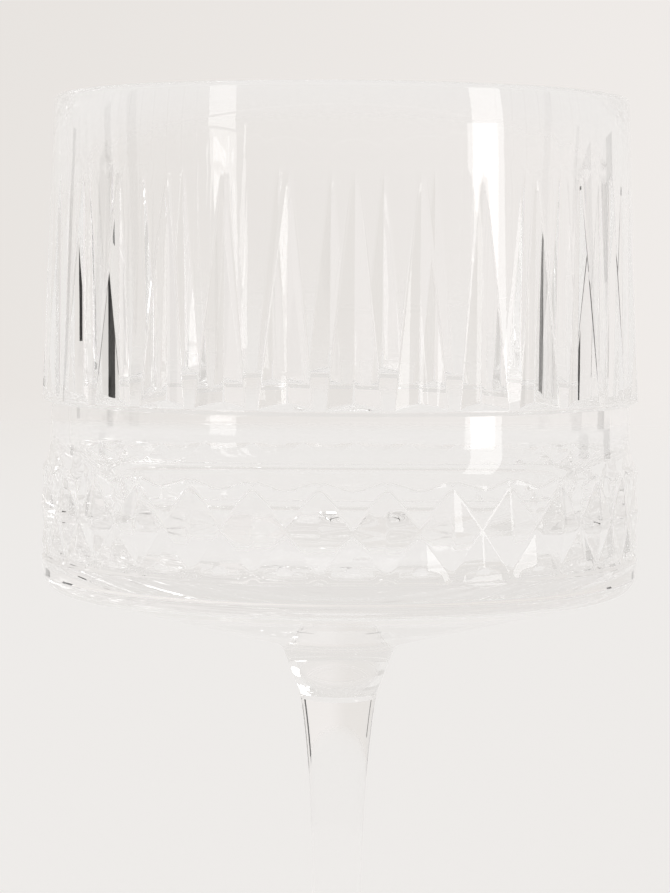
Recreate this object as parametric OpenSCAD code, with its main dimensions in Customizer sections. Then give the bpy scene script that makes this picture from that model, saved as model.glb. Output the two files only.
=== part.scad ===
// Stemmed coupe in pressed clear glass: a straight-sided bowl with thirty pointed flutes, a plain
// band and a band of diamond points, on a drawn stem with a round foot.
// The table is z = 0, and the axis of the glass is the Z axis.

/* [Overall] */
// Height from the table to the top of the rim
total_h = 150; // [140:1:170]
// Outer radius of the bowl at the rim
rim_r = 41.9; // [40:0.1:45]

/* [Bowl wall] */
// Thickness of the wall at the rim
rim_wall = 1.6; // [1.4:0.1:2]
// How far the outside widens from the rim to the ledge under the flutes
wall_flare = 1.8; // [1:0.05:2.4]
// How much thicker the wall is below the tapered lip than a straight inside would make it
lip_taper = 0.4; // [0.2:0.05:0.6]
// Height of the tapered lip
lip_taper_h = 13; // [10:0.5:16]
// How far the inside narrows from the tapered lip to the floor
inner_draft = 0.3; // [0.2:0.05:1.5]
// Plain wall above the points of the flutes
clear_h = 11.6; // [8:0.1:15]

/* [Flutes] */
// Number of flutes round the bowl, and of diamonds below them
flute_count = 30; // [26:1:34]
// Length of a flute from its point to its foot
flute_h = 32.1; // [29:0.1:36]
// Depth of a flute below the wall where it is deepest
flute_depth = 1.3; // [1:0.05:1.8]
// Height of the slope that ends a flute at its foot
flute_end_h = 0.9; // [0.7:0.1:1.6]
// Width of the wall left between the feet of two flutes
land_w = 1.7; // [1.2:0.1:2.6]

/* [Bands] */
// Height of the wall left under the feet of the flutes
land_drop = 0.3; // [0.2:0.05:0.5]
// How far the ledge under the flutes steps in to the plain band
ledge_step = 1.3; // [0.9:0.05:1.6]
// Height of the sloping ledge
ledge_h = 0.5; // [0.3:0.05:0.8]
// Height of the plain band, from the feet of the flutes to the middle of the cove
plain_h = 7.8; // [7:0.1:9]
// Radius of the cove that leads from the plain band out to the diamonds
cove_r = 7.5; // [6:0.1:8]
// Height from the middle of the cove to the upper groove crossings
shoulder_h = 2.1; // [1.9:0.1:2.6]
// How far the cove stands above the bottoms of the grooves where it meets them
shoulder_lift = 0.3; // [0.2:0.05:0.4]
// Height of the diamond band between its upper and lower groove crossings
diamond_h = 12.4; // [11:0.1:14]
// Height of the diamond points above the plain band
diamond_relief = 1.5; // [1.3:0.05:1.8]
// Depth of the grooves below the diamond points
groove_depth = 0.75; // [0.55:0.05:0.9]
// Height of the slope that cuts off the lowest half diamonds
low_slope_h = 1.5; // [1.2:0.1:1.9]

/* [Base of the bowl] */
// Height of the smooth band under the diamonds, from the lower groove crossings to its lower edge
base_band_h = 5.4; // [4.6:0.1:6.4]
// Height from the lower groove crossings to the widest part of the smooth band
swell_h = 1; // [0.8:0.1:1.3]
// How far the smooth band lies inside the diamond points
base_inset = 0.1; // [0.05:0.05:0.2]
// How far the smooth band draws in from its widest part to its lower edge
base_taper = 0.3; // [0.1:0.1:0.8]
// Radius of the outside corner under the bowl
base_corner_r = 3; // [2.2:0.1:3.6]
// Drop of the underside from the lower edge to the neck
underside_drop = 8.9; // [7:0.1:10]
// Thickness of the floor over the top of the neck
floor_t = 11; // [9:0.2:13]
// Radius of the round corner inside the bowl
inner_corner_r = 15; // [12:0.5:17]
// How far the floor sinks from the round corner to the middle
floor_sink = 1.6; // [1:0.1:2.4]

/* [Stem] */
// Radius of the neck where it leaves the bowl
neck_r = 8.5; // [7.6:0.1:9.4]
// Length of the neck that is pressed in one with the bowl
neck_h = 7.3; // [6:0.1:9]
// Radius of the thinnest part of the stem
waist_r = 3.3; // [3:0.05:3.8]
// How much wider than the waist the stem is where it joins the neck
stem_flare = 2.45; // [2.1:0.05:2.8]
// Length over which that flare fades to about a third
stem_fade = 14; // [11:0.1:16]

/* [Foot] */
// Outer radius of the foot
foot_r = 35; // [32:0.5:38]
// Height of the foot at its joint with the stem
foot_h = 8; // [7:0.1:9.5]
// Thickness of the foot at its edge
foot_edge_t = 2.4; // [2:0.1:3]
// How far the top of the foot rises from its edge to the foot of the flare
foot_rise = 1.8; // [1.2:0.1:2.4]
// How much wider than the waist the stem is where it meets the foot
foot_flare = 1.5; // [1.2:0.05:1.9]
// Length over which that flare fades to about a third
foot_fade = 4.5; // [3.5:0.1:6]
// Distance from the axis over which the flare of the foot fades to about a third
foot_spread = 3.6; // [3:0.1:5]
// Width of the flat ring that the glass stands on
rest_w = 4; // [3:0.1:6]
// Height of the hollow under the foot
hollow_h = 1.2; // [0.8:0.1:1.5]

/* [Hidden] */
$fn = 96;

glass_colour = [0.86, 0.90, 0.90, 0.45];

// Radii of the small roundings, and the steps that the curves are drawn in
lip_round_share = 0.45;
lip_r = rim_wall * lip_round_share;
lip_blend_r = 200;
swell_fillet_r = 0.7;
neck_fillet_r = 2;
arc_steps = 8;
curve_steps = 20;

// How far the corners of a flute's cutter are carried past the wall, as a share of the distance from
// the flute's deepest point, and how far the diamonds' grooves are cut past the band that carries them
cutter_share = 1.2;
run_out = 0.8;
groove_lift = 0.1;
cutter_wall = 3;

// Heights of the bowl's bands, from the rim down
rim_z = total_h;
point_z = rim_z - clear_h;
flute_foot_z = point_z - flute_h;
land_z = flute_foot_z - land_drop;
ledge_z = land_z - ledge_h;
shoulder_z = flute_foot_z - plain_h;
cross_top_z = shoulder_z - shoulder_h;
cross_mid_z = cross_top_z - diamond_h / 2;
cross_low_z = cross_top_z - diamond_h;
lower_edge_z = cross_low_z - base_band_h;
neck_z = lower_edge_z - underside_drop;
joint_z = neck_z - neck_h;
floor_z = neck_z + floor_t;

// Radii of the bowl's bands, from the rim down
land_r = rim_r + wall_flare;
flute_foot_r = wall_r(flute_foot_z);
plain_r = land_r - ledge_step;
crest_r = plain_r + diamond_relief;
groove_r = crest_r - groove_depth;
cross_top_r = groove_r + shoulder_lift;
cross_low_r = groove_r + groove_lift;
blank_r = crest_r + groove_lift;
base_r = crest_r - base_inset;
lower_edge_r = base_r - base_taper;
inner_rim_r = rim_r - rim_wall;
inner_wall_r = inner_rim_r - lip_taper;
joint_r = stem_r(joint_z);

// Height at which the slope below the cove would reach the uncut blank
blank_top_z = cross_top_z - shoulder_h * (blank_r - cross_top_r) / (cross_top_r - plain_r);

// Angle of one flute and land, and half the angle of a flute at its foot
pitch = 360 / flute_count;
flute_half = pitch / 2 * (1 - land_w / (2 * PI * flute_foot_r / flute_count));

// Radius of the outside of the wall between the rim and the ledge
function wall_r(z) = rim_r + wall_flare * (rim_z - z) / (rim_z - land_z);

// Radius of the stem at a height: a waist with a flare that fades away from each end
function stem_r(z) = waist_r
    + stem_flare * exp(-(joint_z - z) / stem_fade)
    + foot_flare * exp(-(z - foot_h) / foot_fade);

// Height of the top of the foot at a radius: a shallow cone that sweeps up to the stem
function foot_top_z(r) = foot_edge_t
    + foot_rise * (foot_r - r) / (foot_r - stem_r(foot_h))
    + (foot_h - foot_edge_t - foot_rise) * exp(-(r - stem_r(foot_h)) / foot_spread);

// Height of the hollow under the foot at a radius
function hollow_z(r, edge) = hollow_h * (1 - pow(r / edge, 2));

// A point at an angle, a radius and a height
function at(angle, r, z) = [r * cos(angle), r * sin(angle), z];

function unit(v) = v / norm(v);

// An outline from corners given as [radius from the axis, height, rounding]: each rounded corner
// becomes an arc that touches both of its sides
function rounded(corners) =
    let (n = len(corners))
    [for (i = [0:n - 1])
        let (
            p = [corners[i][0], corners[i][1]],
            before = corners[(i + n - 1) % n],
            after = corners[(i + 1) % n],
            u = unit([before[0], before[1]] - p),
            v = unit([after[0], after[1]] - p),
            half = acos(u * v) / 2,
            r = corners[i][2],
            centre = p + unit(u + v) * r / sin(half),
            from = u * r / tan(half) + p - centre,
            to = v * r / tan(half) + p - centre,
            start = atan2(from[1], from[0]),
            turn = (atan2(to[1], to[0]) - start + 540) % 360 - 180
        )
        for (k = [0:r > 0 ? arc_steps : 0])
            r > 0
                ? centre + r * [cos(start + turn * k / arc_steps), sin(start + turn * k / arc_steps)]
                : p];

// The bowl's section before the flutes and grooves: outside from the joint up to the rim, then down
// the inside to the floor
module bowl_blank() {
    rotate_extrude()
        polygon(rounded([
            [0, joint_z, 0],
            [joint_r, joint_z, 0],
            [neck_r, neck_z, neck_fillet_r],
            [lower_edge_r, lower_edge_z, base_corner_r],
            [base_r, cross_low_z - swell_h, swell_fillet_r],
            [cross_low_r, cross_low_z - groove_lift, 0],
            [blank_r, cross_low_z + low_slope_h, 0],
            [blank_r, blank_top_z, 0],
            [plain_r, shoulder_z, cove_r],
            [plain_r, ledge_z, 0],
            [land_r, land_z, 0],
            [rim_r, rim_z, lip_r],
            [inner_rim_r, rim_z, lip_r],
            [inner_wall_r, rim_z - lip_taper_h, lip_blend_r],
            [inner_wall_r - inner_draft, floor_z + floor_sink, inner_corner_r],
            [0, floor_z, 0],
        ]));
}

// What one pointed flute on the +X side takes out of the wall. Its three planes meet at the flute's
// deepest point: two walls that run up to its point on the wall's face, and the slope that ends it at
// its foot. The other corners lie on the lines from there through the point and the foot's corners,
// far enough out to clear the wall
module flute_cutter() {
    deepest = at(0, wall_r(flute_foot_z + flute_end_h) - flute_depth, flute_foot_z + flute_end_h);
    tips = [
        at(0, wall_r(point_z), point_z),
        at(-flute_half, flute_foot_r, flute_foot_z),
        at(flute_half, flute_foot_r, flute_foot_z),
    ];
    outer = [for (tip = tips) deepest + (tip - deepest) * cutter_share];
    polyhedron(concat([deepest], outer), [[0, 1, 2], [0, 3, 1], [0, 2, 3], [1, 3, 2]]);
}

// The ring that presses the diamonds: its inner face is a lattice of raised and sunk corners, two to
// each diamond across and down. Sunk corners are the diamond points, and the folds that join the
// raised ones are the bottoms of the grooves
module diamond_cutter() {
    columns = 2 * flute_count;
    outer_r = blank_r + cutter_wall;
    rows = 7;
    row_z = [cross_top_z + run_out, cross_top_z, cross_mid_z, cross_low_z, cross_low_z - run_out,
        cross_low_z - run_out, cross_top_z + run_out];
    points = [
        for (j = [0:columns - 1], k = [0:rows - 1])
            let (
                crossing = (j + k) % 2 == 0 && k > 0 && k < 4,
                r = k > 4 ? outer_r : k % 4 == 0 ? blank_r + groove_lift : crossing ? groove_r : crest_r
            )
            at(j * pitch / 2, r, row_z[k])
    ];
    faces = [
        for (j = [0:columns - 1], k = [0:rows - 1])
            let (
                left = (j + 1) % columns * rows,
                right = j * rows,
                below = (k + 1) % rows
            )
            each (j + k) % 2 == 0
                ? [[left + k, right + k, left + below], [right + k, right + below, left + below]]
                : [[left + k, right + k, right + below], [left + k, right + below, left + below]]
    ];
    polyhedron(points, faces);
}

module bowl() {
    color(glass_colour)
        difference() {
            bowl_blank();
            for (i = [0:flute_count - 1])
                rotate([0, 0, i * pitch])
                    flute_cutter();
            diamond_cutter();
        }
}

module stem() {
    color(glass_colour)
        rotate_extrude()
            polygon([
                [0, foot_h],
                for (i = [0:curve_steps])
                    let (z = foot_h + (joint_z - foot_h) * i / curve_steps)
                    [stem_r(z), z],
                [0, joint_z],
            ]);
}

module foot() {
    top_r = stem_r(foot_h);
    edge_r = foot_edge_t / 2;
    rest_out = foot_r - edge_r;
    rest_in = rest_out - rest_w;
    color(glass_colour)
        rotate_extrude()
            polygon([
                [0, foot_h],
                for (i = [0:curve_steps])
                    let (r = top_r + (foot_r - edge_r - top_r) * pow(i / curve_steps, 2))
                    [r, foot_top_z(r)],
                for (i = [1:arc_steps])
                    let (angle = 90 - 180 * i / arc_steps)
                    [rest_out + edge_r * cos(angle), edge_r + edge_r * sin(angle)],
                for (i = [0:arc_steps])
                    let (r = rest_in * (1 - i / arc_steps))
                    [r, hollow_z(r, rest_in)],
            ]);
}

bowl();
stem();
foot();
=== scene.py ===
import math

import bpy
import numpy as np
from mathutils import Matrix, Vector


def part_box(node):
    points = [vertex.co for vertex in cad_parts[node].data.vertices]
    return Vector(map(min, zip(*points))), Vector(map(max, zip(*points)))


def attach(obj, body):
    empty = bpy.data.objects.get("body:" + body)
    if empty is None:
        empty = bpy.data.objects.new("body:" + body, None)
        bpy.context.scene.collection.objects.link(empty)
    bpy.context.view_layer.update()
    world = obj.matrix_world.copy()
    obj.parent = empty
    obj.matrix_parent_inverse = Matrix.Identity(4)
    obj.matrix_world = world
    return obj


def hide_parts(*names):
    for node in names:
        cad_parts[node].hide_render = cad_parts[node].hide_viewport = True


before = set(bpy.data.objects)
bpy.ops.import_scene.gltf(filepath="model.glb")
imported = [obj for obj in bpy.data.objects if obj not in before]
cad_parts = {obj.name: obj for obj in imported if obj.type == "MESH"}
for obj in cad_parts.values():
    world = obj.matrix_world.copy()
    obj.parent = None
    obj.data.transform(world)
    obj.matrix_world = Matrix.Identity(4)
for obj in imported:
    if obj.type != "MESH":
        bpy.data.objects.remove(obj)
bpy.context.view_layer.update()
print("frame loaded")

mm = 0.001


def place(node):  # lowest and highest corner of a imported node, in millimetres
    low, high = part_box(node)
    return np.array(low) / mm, np.array(high) / mm


bowlLow, bowlHigh = place("bowl")
footHigh = place("foot")[1]
rimZ, jointZ, footTopZ = bowlHigh[2], bowlLow[2], footHigh[2]


# A colour given as sRGB hex, turned to linear
def linear(code):
    channel = np.array([int(code[i : i + 2], 16) for i in (1, 3, 5)]) / 255
    low, high = channel / 12.92, ((channel + 0.055) / 1.055) ** 2.4
    return tuple(np.where(channel <= 0.04045, low, high)) + (1.0,)


# Adds one node: settings are its properties and plain socket values, links are its inputs
def addNode(tree, kind, settings=None, links=None):
    node = tree.nodes.new(kind)
    for name, value in (settings or {}).items():
        if isinstance(name, str) and hasattr(node, name):
            setattr(node, name, value)
        else:
            node.inputs[name].default_value = value
    for name, source in (links or {}).items():
        tree.links.new(source, node.inputs[name])
    return node


# Corners are radius, height and rounding. Each rounded corner becomes an arc that touches both of
# its sides, and each side longer than the step gets points between
def roundedPath(corners, arcPoints, step):
    points = []
    for i, (r, z, rounding) in enumerate(corners):
        corner = np.array([r, z])
        if rounding == 0:
            points.append(corner)
            continue
        before = np.array(corners[i - 1][:2]) - corner
        after = np.array(corners[i + 1][:2]) - corner
        before, after = before / np.linalg.norm(before), after / np.linalg.norm(after)
        half = math.acos(np.clip(before @ after, -1, 1)) / 2
        middle = (before + after) / np.linalg.norm(before + after)
        centre = corner + middle * rounding / math.sin(half)
        start = before * rounding / math.tan(half) + corner - centre
        end = after * rounding / math.tan(half) + corner - centre
        first = math.atan2(start[1], start[0])
        turn = (math.atan2(end[1], end[0]) - first + 3 * math.pi) % (2 * math.pi) - math.pi
        angle = first + turn * np.linspace(0, 1, arcPoints)
        points.extend(centre + rounding * np.stack([np.cos(angle), np.sin(angle)], axis=1))
    path = [points[0]]
    for point in points[1:]:
        parts = max(1, int(np.linalg.norm(point - path[-1]) / step))
        path.extend(path[-1] + (point - path[-1]) * np.arange(1, parts + 1)[:, None] / parts)
    return np.array(path)


# A closed skin from rings of points: neighbouring rings are joined by triangles, cut along the
# rising or the falling diagonal as rising says, and the first and last ring close on a pole
def skin(name, rings, poles, rising=None, capped=(False, False)):
    rowCount, columnCount = rings.shape[:2]
    points = np.concatenate([rings.reshape(-1, 3), poles])
    row, column = np.meshgrid(np.arange(rowCount - 1), np.arange(columnCount), indexing="ij")
    following = (column + 1) % columnCount
    a, b = row * columnCount + column, row * columnCount + following
    c, d = b + columnCount, a + columnCount
    rise = np.zeros(row.shape, bool) if rising is None else rising
    one = np.where(rise[..., None], np.stack([a, b, d], -1), np.stack([a, b, c], -1))
    two = np.where(rise[..., None], np.stack([b, c, d], -1), np.stack([a, c, d], -1))
    ring = np.arange(columnCount)
    last = (rowCount - 1) * columnCount
    top = np.stack([(ring + 1) % columnCount, ring, np.full(columnCount, len(points) - 2)], -1)
    low = np.stack([ring, (ring + 1) % columnCount, np.zeros(columnCount, int)], -1) + last
    low[:, 2] = len(points) - 1
    faces = np.concatenate([one.reshape(-1, 3), two.reshape(-1, 3), top, low])
    corners = points[faces]
    volume = np.einsum("ij,ij->", corners[:, 0], np.cross(corners[:, 1], corners[:, 2]))
    if volume < 0:
        faces = faces[:, ::-1]
    mesh = bpy.data.meshes.new(name)
    mesh.from_pydata((points * mm).tolist(), [], faces.tolist())
    slots = np.zeros(len(faces), np.int32)
    slots[-2 * columnCount : -columnCount] = capped[0]
    slots[-columnCount:] = capped[1]
    mesh.polygons.foreach_set("material_index", slots)
    mesh.polygons.foreach_set("use_smooth", slots == 0)
    mesh.update()
    piece = bpy.data.objects.new(name, mesh)
    bpy.context.scene.collection.objects.link(piece)
    return piece


# Points at an angle in turns, a radius and a height, for arrays of any shape
def around(turn, radius, height):
    angle = 2 * math.pi * turn
    return np.stack([radius * np.cos(angle), radius * np.sin(angle), height + 0 * angle], -1)


bowlSizes = {  # millimetres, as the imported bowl
    "rimRadius": 41.9,
    "rimWall": 1.6,
    "wallFlare": 1.8,
    "lipTaper": 0.4,
    "lipTaperHeight": 13.0,
    "lipRounding": 200.0,
    "innerDraft": 0.3,
    "clearHeight": 11.6,
    "fluteCount": 30,
    "fluteHeight": 32.1,
    "fluteDepth": 1.3,
    "fluteEnd": 0.9,
    "landWidth": 1.7,
    "pointWidth": 0.1,
    "landDrop": 0.3,
    "ledgeStep": 1.3,
    "ledgeHeight": 0.5,
    "plainHeight": 7.8,
    "coveRadius": 7.5,
    "shoulderHeight": 2.1,
    "shoulderLift": 0.3,
    "diamondHeight": 12.4,
    "diamondRelief": 1.5,
    "grooveDepth": 0.75,
    "grooveLift": 0.1,
    "runOut": 0.8,
    "lowSlopeHeight": 1.5,
    "bandHeight": 5.4,
    "swellHeight": 1.0,
    "baseInset": 0.1,
    "bandTaper": 0.3,
    "cornerRounding": 3.0,
    "ledgeRounding": 0.15,
    "ledgeFootRounding": 0.12,
    "swellRounding": 0.7,
    "undersideDrop": 8.9,
    "neckRadius": 8.5,
    "neckRounding": 2.0,
    "floorThickness": 11.0,
    "innerRounding": 15.0,
    "floorSink": 1.6,
    "halfColumns": 12,  # columns from the bottom of a flute to the middle of the land beside it
    # places of the columns between bottom and edge, and between edge and land middle, as shares
    "wallShares": [0, 0.04, 0.12, 0.28, 0.48, 0.68, 0.86, 0.96, 1],
    "landShares": [0.15, 0.4, 0.7, 1],
    "fluteRows": 11,
    "clearRows": 3,
    "evenHeight": 1.6,  # height above a flute's point over which its columns spread out evenly
    "lipAngles": (157.5, 22.5, 7),  # degrees, from the inside over the rim, and how many
    # points on a rounded corner, and the longest step between two rings
    "innerArc": (12, 8.0),
    "outerArc": (6, 2.6),
    "clearOfGrid": (1.5, 0.8),  # rows of the diamonds' grid within which the section has no ring
}

stemSizes = {
    "waistRadius": 3.3,
    "flare": 2.45,
    "fade": 14.0,
    "footFlare": 1.5,
    "footFade": 4.5,
    "rings": 61,
    "columns": 128,
}

footSizes = {
    "edgeThickness": 2.4,
    "rise": 1.8,
    "spread": 3.6,
    "restWidth": 4.0,
    "restEase": 0.3,  # keeps a ring of points close to each side of the rest ring
    "hollow": 1.2,
    "hollowPower": 1.2,
    "topRings": 49,
    "topCrowding": 1.6,  # over 1 crowds the rings of the top towards the stem
    "edgeRings": 17,
    "hollowRings": 25,
    "hollowReach": 0.96,  # share of the hollow's radius that its rings cross
    "columns": 192,
}


# Waist radius plus a flare that fades away from each end of the stem
def stemRadius(z):
    s = stemSizes
    upper = s["flare"] * np.exp(-(jointZ - z) / s["fade"])
    return s["waistRadius"] + upper + s["footFlare"] * np.exp(-(z - footTopZ) / s["footFade"])


# The bowl is rings of points from the middle of its floor, up the inside, over the rim and down the
# outside. A column's turn is set so that columns run along each flute's bottom and edges, and the
# diamonds are the absolute difference of two shares: across from a crossing, and up from the middle
def makeBowl():
    s = bowlSizes
    pointZ = rimZ - s["clearHeight"]
    footZ = pointZ - s["fluteHeight"]
    landZ = footZ - s["landDrop"]
    ledgeZ = landZ - s["ledgeHeight"]
    shoulderZ = footZ - s["plainHeight"]
    crossTopZ = shoulderZ - s["shoulderHeight"]
    crossMidZ = crossTopZ - s["diamondHeight"] / 2
    crossLowZ = crossTopZ - s["diamondHeight"]
    valleyZ = crossLowZ - s["grooveLift"]
    edgeZ = crossLowZ - s["bandHeight"]
    neckZ = edgeZ - s["undersideDrop"]
    floorZ = neckZ + s["floorThickness"]
    landRadius = s["rimRadius"] + s["wallFlare"]
    plainRadius = landRadius - s["ledgeStep"]
    crestRadius = plainRadius + s["diamondRelief"]
    grooveRadius = crestRadius - s["grooveDepth"]
    crossTopRadius = grooveRadius + s["shoulderLift"]
    crossLowRadius = grooveRadius + s["grooveLift"]
    baseRadius = crestRadius - s["baseInset"]
    edgeRadius = baseRadius - s["bandTaper"]
    shoulderSlope = (crossTopRadius - plainRadius) / s["shoulderHeight"]
    lowSlope = s["grooveDepth"] / s["lowSlopeHeight"]
    swellSlope = (baseRadius - crossLowRadius) / s["swellHeight"]
    innerRadius = s["rimRadius"] - s["rimWall"]
    wallInner = innerRadius - s["lipTaper"]
    lip = s["rimWall"] / 2
    lipZ = rimZ - lip

    half = s["halfColumns"]
    step = np.arange(-half, half)
    side, index = np.sign(step), np.abs(step)
    evenTurn = index / (2 * half)
    wall, land = np.array(s["wallShares"]), np.array([0] + s["landShares"])
    onWall = index < len(wall)
    wallShare = wall[np.minimum(index, len(wall) - 1)]
    landShare = land[np.clip(index - len(wall) + 1, 0, len(land) - 1)]

    def wallRadius(z):
        return s["rimRadius"] + s["wallFlare"] * (rimZ - z) / (rimZ - landZ)

    footRadius = wallRadius(footZ)
    pitch = 2 * math.pi * footRadius / s["fluteCount"]
    footHalf = (1 - s["landWidth"] / pitch) / 2
    pointHalf = s["pointWidth"] / pitch / 2

    def fluteHalf(z):  # half a flute's width as a share of the pitch
        share = np.clip((pointZ - z) / s["fluteHeight"], 0, 1)
        return pointHalf + (footHalf - pointHalf) * share

    def pitchTurn(z, even):  # shares of the pitch for each column; even blends to equal columns
        width = fluteHalf(z)[:, None]
        shaped = np.where(onWall, wallShare * width, width + landShare * (0.5 - width))
        return side * ((1 - even[:, None]) * shaped + even[:, None] * evenTurn)

    def fluteDepth(z, away):  # the lower of two walls that meet at the bottom, and the end slope
        share = np.clip((pointZ - z) / (s["fluteHeight"] - s["fluteEnd"]), 0, None)
        end = np.clip((z - footZ) / s["fluteEnd"], 0, 1)
        deep = np.minimum(share[:, None] * (1 - away), end[:, None])
        return s["fluteDepth"] * np.clip(deep, 0, 1)

    # The inside, from the pole on the floor up to the lip, then over the lip
    inner = roundedPath(
        [
            (0, floorZ, 0),
            (wallInner - s["innerDraft"], floorZ + s["floorSink"], s["innerRounding"]),
            (wallInner, rimZ - s["lipTaperHeight"], s["lipRounding"]),
            (innerRadius, lipZ, 0),
        ],
        *s["innerArc"],
    )[1:]
    lipAngle = np.radians(np.linspace(*s["lipAngles"]))
    lipPath = np.stack(
        [s["rimRadius"] - lip + lip * np.cos(lipAngle), lipZ + lip * np.sin(lipAngle)], 1
    )
    inside = np.concatenate([inner, lipPath])

    # The wall and the flutes, from the lip to the ledge
    evenZ = pointZ + s["evenHeight"]
    clearZ = np.linspace(lipZ, evenZ, s["clearRows"])
    clearZ = np.concatenate([clearZ, [(evenZ + pointZ) / 2, pointZ]])
    endZ = footZ + s["fluteEnd"] * (1 - wall)
    runZ = pointZ + (endZ[0] - pointZ) * np.linspace(0, 1, s["fluteRows"])[1:-1]
    wallZ = np.concatenate([clearZ, runZ, endZ])
    wallEven = np.clip((wallZ - pointZ) / s["evenHeight"], 0, 1)
    wallTurn = pitchTurn(wallZ, wallEven)
    away = np.abs(wallTurn) / fluteHalf(wallZ)[:, None]
    wallR = wallRadius(wallZ)[:, None] - fluteDepth(wallZ, away)

    # The plain band, the shoulder and the smooth band under the diamonds
    section = roundedPath(
        [
            (footRadius, footZ, 0),
            (landRadius, landZ, s["ledgeRounding"]),
            (plainRadius, ledgeZ, s["ledgeFootRounding"]),
            (plainRadius, shoulderZ, s["coveRadius"]),
            (crossTopRadius, crossTopZ, 0),
            (crossLowRadius, valleyZ, 0),
            (baseRadius, crossLowZ - s["swellHeight"], s["swellRounding"]),
            (edgeRadius, edgeZ, s["cornerRounding"]),
            (s["neckRadius"], neckZ, s["neckRounding"]),
            (float(stemRadius(jointZ)), jointZ, 0),
        ],
        *s["outerArc"],
    )
    rowStep = s["diamondHeight"] / (2 * half)
    gridTopZ = crossTopZ + s["clearOfGrid"][0] * rowStep
    gridLowZ = crossLowZ - s["clearOfGrid"][1] * rowStep
    upper = section[(section[:, 1] > gridTopZ) & (section[:, 1] < footZ)]
    lower = section[section[:, 1] < gridLowZ]
    upperEven = np.clip((footZ - upper[:, 1]) / (footZ - shoulderZ), 0, 1)

    # The diamonds, on rows that put each groove along a diagonal of the grid
    gridZ = crossTopZ - rowStep * np.arange(-1, 2 * half + 1)
    across = 2 * evenTurn[None, :]
    gridRow = np.repeat(gridZ[:, None], 2 * half, axis=1)
    facetSlope = 2 * s["grooveDepth"] / s["diamondHeight"]
    endSlope = s["grooveDepth"] / s["runOut"]
    for limit, lift, inward, outward, sign in (
        (crossTopZ, s["shoulderLift"], shoulderSlope, shoulderSlope, -1),
        (crossLowZ, s["grooveLift"], lowSlope, -swellSlope, 1),
    ):
        over = s["grooveDepth"] * (1 - across) - lift
        fall = np.where(over > 0, facetSlope + inward, endSlope + outward)
        meet = limit + sign * over / fall
        gridRow = np.where(np.abs(gridRow - meet) < rowStep / 2, meet, gridRow)
    upward = np.abs(gridRow - crossMidZ) / (s["diamondHeight"] / 2)
    past = (upward - 1) * s["diamondHeight"] / 2 / s["runOut"]
    share = np.where(past > 0, np.maximum(1 - across, past), np.abs(across - upward))
    facets = grooveRadius + s["grooveDepth"] * share
    shoulder = crossTopRadius + shoulderSlope * (crossTopZ - gridRow)
    above = gridRow - valleyZ
    band = crossLowRadius + np.where(above > 0, lowSlope * above, -swellSlope * above)
    gridR = np.minimum(facets, np.minimum(shoulder, band))

    def plainRings(path, even, width):  # rings of a section, with equal or shaped columns
        turn = pitchTurn(width, even)
        return turn, path[:, :1] + 0 * turn, path[:, 1:] + 0 * turn

    blocks = [
        plainRings(inside, np.ones(len(inside)), inside[:, 1]),
        (wallTurn, wallR, wallZ[:, None] + 0 * wallTurn),
        plainRings(upper, upperEven, np.minimum(upper[:, 1], footZ)),
        (side * evenTurn + 0 * gridR, gridR, gridRow),
        plainRings(lower, np.ones(len(lower)), lower[:, 1]),
    ]
    turn, radius, height = (np.concatenate([block[k] for block in blocks]) for k in range(3))
    flutes = np.arange(s["fluteCount"])[None, :, None]
    allTurn = ((flutes + turn[:, None, :]) / s["fluteCount"]).reshape(len(turn), -1)
    rings = around(
        allTurn, np.tile(radius, (1, s["fluteCount"])), np.tile(height, (1, s["fluteCount"]))
    )
    # The diagonals rise with the turn where the grooves do, and fall along a flute's end slope
    rightHalf = np.tile(step >= 0, s["fluteCount"])[None, :]
    between = (height[:-1, :1] + height[1:, :1]) / 2
    rising = (between > crossMidZ) & ((between < footZ) | (between > endZ[0]))
    poles = np.array([[0, 0, floorZ], [0, 0, jointZ]])
    return skin("bowl_glass", rings, poles, rightHalf == rising, (False, True))


# Rings round the axis whose radius at each height is the stem's
def makeStem():
    z = np.linspace(jointZ, footTopZ, stemSizes["rings"])
    turn = np.arange(stemSizes["columns"]) / stemSizes["columns"]
    rings = around(turn[None, :] + 0 * z[:, None], stemRadius(z)[:, None], z[:, None])
    poles = np.array([[0, 0, jointZ], [0, 0, footTopZ]])
    return skin("stem_glass", rings, poles, None, (True, True))


# The top falls as a shallow cone plus a flare that fades with the radius, and the edge is half a
# circle. The underside is a flat ring round a hollow whose height is a power of one less the square
# of the share of its radius
def makeFoot():
    s = footSizes
    inner = float(stemRadius(footTopZ))
    edge = s["edgeThickness"] / 2
    outer = footHigh[0]
    restOut = outer - edge
    restIn = restOut - s["restWidth"]
    topR = inner + (restOut - inner) * np.linspace(0, 1, s["topRings"]) ** s["topCrowding"]
    flare = (footTopZ - s["edgeThickness"] - s["rise"]) * np.exp(-(topR - inner) / s["spread"])
    topZ = s["edgeThickness"] + s["rise"] * (outer - topR) / (outer - inner) + flare
    topZ[0] = footTopZ
    topZ[-1] = s["edgeThickness"]
    angle = np.radians(np.linspace(90, -90, s["edgeRings"]))[1:]
    edgeR, edgeZ = restOut + edge * np.cos(angle), edge + edge * np.sin(angle)
    ringR = np.array([restOut - s["restEase"], restIn + s["restEase"]])
    hollowR = restIn * (1 - np.linspace(0, s["hollowReach"], s["hollowRings"]))
    hollowZ = s["hollow"] * (1 - (hollowR / restIn) ** 2) ** s["hollowPower"]
    radius = np.concatenate([topR, edgeR, ringR, hollowR])
    height = np.concatenate([topZ, edgeZ, 0 * ringR, hollowZ])
    turn = np.arange(s["columns"]) / s["columns"]
    rings = around(turn[None, :] + 0 * radius[:, None], radius[:, None], height[:, None])
    poles = np.array([[0, 0, footTopZ], [0, 0, s["hollow"]]])
    return skin("foot_glass", rings, poles, None, (True, False))


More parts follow.
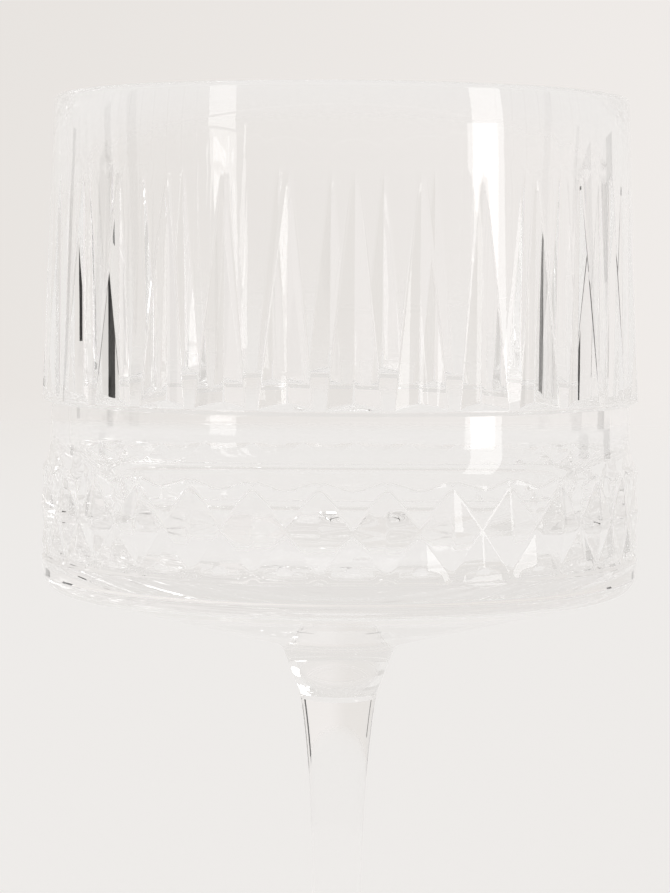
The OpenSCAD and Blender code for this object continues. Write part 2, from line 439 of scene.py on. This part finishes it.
# Pressed soda-lime glass, fire-polished: clear and glossy, with the faint waves that a mould leaves
glassLook = {
    "colour": "#FFFFFF",
    "ior": 1.52,
    "roughness": 0.0,
    "waveLength": 9.0,  # millimetres between the waves of the skin
    "waveHeight": 0.012,
    "waveDetail": 1.5,
    "waveRoughness": 0.4,
}


def pressedGlass():
    look = glassLook
    material = bpy.data.materials.new("pressed_soda_lime_glass")
    material.use_nodes = True
    tree = material.node_tree
    tree.nodes.clear()
    coords = addNode(tree, "ShaderNodeTexCoord")
    waves = addNode(
        tree,
        "ShaderNodeTexNoise",
        {
            "Scale": 1 / (look["waveLength"] * mm),
            "Detail": look["waveDetail"],
            "Roughness": look["waveRoughness"],
        },
        {"Vector": coords.outputs["Object"]},
    )
    skinBump = addNode(
        tree,
        "ShaderNodeBump",
        {"Distance": look["waveHeight"] * mm},
        {"Height": waves.outputs["Fac"]},
    )
    glass = addNode(
        tree,
        "ShaderNodeBsdfPrincipled",
        {
            "Base Color": linear(look["colour"]),
            "Roughness": look["roughness"],
            "IOR": look["ior"],
            "Transmission Weight": 1.0,
        },
        {"Normal": skinBump.outputs["Normal"]},
    )
    addNode(tree, "ShaderNodeOutputMaterial", None, {"Surface": glass.outputs["BSDF"]})
    return material


# The fused joint between two pieces of glass: light goes straight through it
def fusedJoint():
    material = bpy.data.materials.new("fused_glass_joint")
    material.use_nodes = True
    tree = material.node_tree
    tree.nodes.clear()
    clear = addNode(tree, "ShaderNodeBsdfTransparent", {"Color": (1, 1, 1, 1)})
    addNode(tree, "ShaderNodeOutputMaterial", None, {"Surface": clear.outputs["BSDF"]})
    return material


glassMaterial, jointMaterial = pressedGlass(), fusedJoint()
for maker, node in ((makeBowl, "bowl"), (makeStem, "stem"), (makeFoot, "foot")):
    piece = maker()
    piece.data.materials.append(glassMaterial)
    piece.data.materials.append(jointMaterial)
    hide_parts(node)
    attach(piece, "root")
    print(node, "made with", len(piece.data.polygons), "faces")


# The camera stands as the photograph was taken, and every light is placed as seen from it
cameraLook = {
    "distance": 419.0,  # millimetres from the axis of the glass
    "aboveTable": 125.3,
    "turn": 3.6,  # degrees round the glass from the front
    "tilt": 3.61,  # degrees down
    "aside": 0.1,  # degrees to the left
    "roll": 0.4,
    "focalPixels": 2846,
    "framePixels": 893,  # the long side of the frame
    "sensor": 36,  # millimetres along that side
    "nearest": 10,
    "farthest": 50000,
}


# A point at an angle round the glass from the camera, a distance and a height, in millimetres
def fromCamera(angle, distance, height):
    whole = math.radians(angle + cameraLook["turn"] - 90)
    return Vector((distance * math.cos(whole), distance * math.sin(whole), height)) * mm


def makeCamera():
    s = cameraLook
    data = bpy.data.cameras.new("camera")
    data.lens = s["focalPixels"] / s["framePixels"] * s["sensor"]
    data.sensor_width = s["sensor"]
    data.clip_start, data.clip_end = s["nearest"] * mm, s["farthest"] * mm
    camera = bpy.data.objects.new("camera", data)
    bpy.context.scene.collection.objects.link(camera)
    turned = Matrix.Rotation(math.radians(s["turn"] + s["aside"]), 4, "Z")
    tilted = Matrix.Rotation(math.radians(90 - s["tilt"]), 4, "X")
    rolled = Matrix.Rotation(math.radians(s["roll"]), 4, "Z")
    moved = Matrix.Translation(fromCamera(0, s["distance"], s["aboveTable"]))
    camera.matrix_world = moved @ turned @ tilted @ rolled
    bpy.context.scene.camera = camera


stageLook = {
    # the backdrop from left to right as the camera sees it, the ceiling, and the room on the
    # camera's own side
    "backdropLeft": "#E9E5E1",
    "backdropRight": "#F2EEEB",
    "ceilingColour": "#E6E3E0",
    "roomColour": "#D6D3D0",
    # cosines to the right, to the camera and upwards between which one colour gives way to another
    "backdropBlend": (-0.2, 0.2),
    "roomBlend": (-0.8, 0.3),
    "ceilingBlend": (0.2, 0.5),
    "shadeBlend": (-0.1, 0.12),
    "topShade": 0.98,
    "floorColour": "#EFEFEF",
    # painted glow: light that the table top gives off though it is no lamp
    "floorPaintedGlow": 0.22,
    "floorGap": 0.2,  # the table lies this far under the foot, which never rests all round
    "floorRadius": 2600.0,
    "floorCorners": 96,
    "fadeFrom": 500.0,
    "panels": {  # angle from the camera, distance, height of the middle, width, height, strength
        "right_panel": (56.5, 700, 240, 165, 500, 2.6),
    },
    "cardColour": "#20201F",
    "flags": {  # dark card: angle from the camera, distance, height of the middle, width, height
        "left_flag": (-105, 1500, 120, 120, 280),
        "left_rear_flag": (-129, 1500, 160, 70, 200),
        "right_flag": (109, 1500, 120, 180, 280),
        "right_rear_flag": (128, 1500, 120, 160, 280),
    },
}


# A round pale table top, matt, with a painted glow of its own colour that brightens it though it is
# no lamp, and it fades into the room round it
def makeFloor():
    s = stageLook
    turn = np.arange(s["floorCorners"]) / s["floorCorners"]
    points = around(turn, s["floorRadius"], -s["floorGap"]) * mm
    mesh = bpy.data.meshes.new("floor")
    mesh.from_pydata(points.tolist(), [], [list(range(len(points)))])
    floor = bpy.data.objects.new("floor", mesh)
    bpy.context.scene.collection.objects.link(floor)
    material = bpy.data.materials.new("pale_table_painted_glow")
    material.use_nodes = True
    tree = material.node_tree
    tree.nodes.clear()
    coords = addNode(tree, "ShaderNodeTexCoord")
    reach = addNode(
        tree, "ShaderNodeVectorMath", {"operation": "LENGTH"}, {0: coords.outputs["Object"]}
    )
    fade = addNode(
        tree,
        "ShaderNodeMapRange",
        {
            "interpolation_type": "SMOOTHSTEP",
            "From Min": s["fadeFrom"] * mm,
            "From Max": s["floorRadius"] * mm,
        },
        {"Value": reach.outputs["Value"]},
    )
    colour = linear(s["floorColour"])
    matt = addNode(tree, "ShaderNodeBsdfDiffuse", {"Color": colour})
    # Painted glow: the table top shines in its own colour with no lamp behind it, which brightens
    # it and softens the shadow under the glass
    paintedGlow = addNode(tree, "ShaderNodeEmission", {"Color": colour, "Strength": s["floorPaintedGlow"]})
    lit = addNode(
        tree, "ShaderNodeAddShader", None, {0: matt.outputs["BSDF"], 1: paintedGlow.outputs["Emission"]}
    )
    clear = addNode(tree, "ShaderNodeBsdfTransparent")
    mix = addNode(
        tree,
        "ShaderNodeMixShader",
        None,
        {0: fade.outputs["Result"], 1: lit.outputs["Shader"], 2: clear.outputs["BSDF"]},
    )
    addNode(tree, "ShaderNodeOutputMaterial", None, {"Surface": mix.outputs["Shader"]})
    floor.data.materials.append(material)


# The room is pale behind the glass, a little brighter to the right and darker towards the top, and
# dimmer overhead and round the camera. Each share goes from 0 to 1 between two cosines
def makeRoom():
    s = stageLook
    world = bpy.data.worlds.new("room")
    world.use_nodes = True
    tree = world.node_tree
    outward = addNode(tree, "ShaderNodeTexCoord").outputs["Generated"]
    shares = []
    for direction, blend in (
        (fromCamera(90, 1, 0), "backdropBlend"),
        (fromCamera(0, 1, 0), "roomBlend"),
        (Vector((0, 0, 1)), "ceilingBlend"),
    ):
        cosine = addNode(
            tree,
            "ShaderNodeVectorMath",
            {"operation": "DOT_PRODUCT", 1: tuple(direction.normalized())},
            {0: outward},
        )
        low, high = s[blend]
        share = addNode(
            tree,
            "ShaderNodeMapRange",
            {"interpolation_type": "SMOOTHSTEP", "From Min": low, "From Max": high},
            {"Value": cosine.outputs["Value"]},
        )
        shares.append(share.outputs["Result"])
    across, toCamera, upward = shares
    # On a mix of colours, socket 6 is the first colour, 7 the second and output 2 the result
    backdrop = addNode(
        tree,
        "ShaderNodeMix",
        {"data_type": "RGBA", 6: linear(s["backdropLeft"]), 7: linear(s["backdropRight"])},
        {0: across},
    )
    walls = addNode(
        tree,
        "ShaderNodeMix",
        {"data_type": "RGBA", 7: linear(s["roomColour"])},
        {0: toCamera, 6: backdrop.outputs[2]},
    )
    whole = addNode(
        tree,
        "ShaderNodeMix",
        {"data_type": "RGBA", 7: linear(s["ceilingColour"])},
        {0: upward, 6: walls.outputs[2]},
    )
    height = addNode(tree, "ShaderNodeSeparateXYZ", None, {0: outward}).outputs["Z"]
    low, high = s["shadeBlend"]
    shade = addNode(
        tree,
        "ShaderNodeMapRange",
        {"From Min": low, "From Max": high, "To Min": 1.0, "To Max": s["topShade"]},
        {"Value": height},
    )
    background = tree.nodes["Background"]
    tree.links.new(whole.outputs[2], background.inputs["Color"])
    tree.links.new(shade.outputs["Result"], background.inputs["Strength"])
    bpy.context.scene.world = world


# Soft boxes at an angle, distance and height, which neither the camera nor the table sees
def makeLights():
    for name, (angle, distance, height, width, tall, strength) in stageLook["panels"].items():
        data = bpy.data.lights.new(name, "AREA")
        data.shape = "RECTANGLE"
        data.size, data.size_y = width * mm, tall * mm
        data.energy = strength * math.pi * data.size * data.size_y
        light = bpy.data.objects.new(name, data)
        light.location = fromCamera(angle, distance, height)
        toGlass = Vector((0, 0, height * mm)) - light.location
        light.rotation_euler = toGlass.to_track_quat("-Z", "Y").to_euler()
        light.visible_camera = light.visible_diffuse = False
        bpy.context.scene.collection.objects.link(light)


# Narrow dark cards beside the set, which only the glass shows: they give it its dark streaks
def makeFlags():
    material = bpy.data.materials.new("black_card")
    material.use_nodes = True
    tree = material.node_tree
    tree.nodes.clear()
    card = addNode(tree, "ShaderNodeBsdfDiffuse", {"Color": linear(stageLook["cardColour"])})
    addNode(tree, "ShaderNodeOutputMaterial", None, {"Surface": card.outputs["BSDF"]})
    for name, (angle, distance, height, width, tall) in stageLook["flags"].items():
        half = math.degrees(math.atan2(width / 2, distance))
        points = [
            fromCamera(angle + side * half, distance, height + end * tall / 2)
            for side, end in ((-1, -1), (1, -1), (1, 1), (-1, 1))
        ]
        mesh = bpy.data.meshes.new(name)
        mesh.from_pydata(points, [], [(0, 1, 2, 3)])
        mesh.materials.append(material)
        flag = bpy.data.objects.new(name, mesh)
        flag.visible_camera = flag.visible_diffuse = flag.visible_shadow = False
        bpy.context.scene.collection.objects.link(flag)


makeCamera()
makeRoom()
makeFloor()
makeLights()
makeFlags()

# A ray crosses many walls of glass before it leaves, and the table shows clear through the foot
# only without blur
rayLook = {"bounces": 128, "clearBounces": 16, "blur": 0.0}
cycles = bpy.context.scene.cycles
cycles.max_bounces = cycles.transmission_bounces = cycles.glossy_bounces = rayLook["bounces"]
cycles.transparent_max_bounces = rayLook["clearBounces"]
cycles.blur_glossy = rayLook["blur"]
bpy.context.scene.view_settings.view_transform = "Standard"
bpy.context.scene.view_settings.look = "None"
print("stage made")
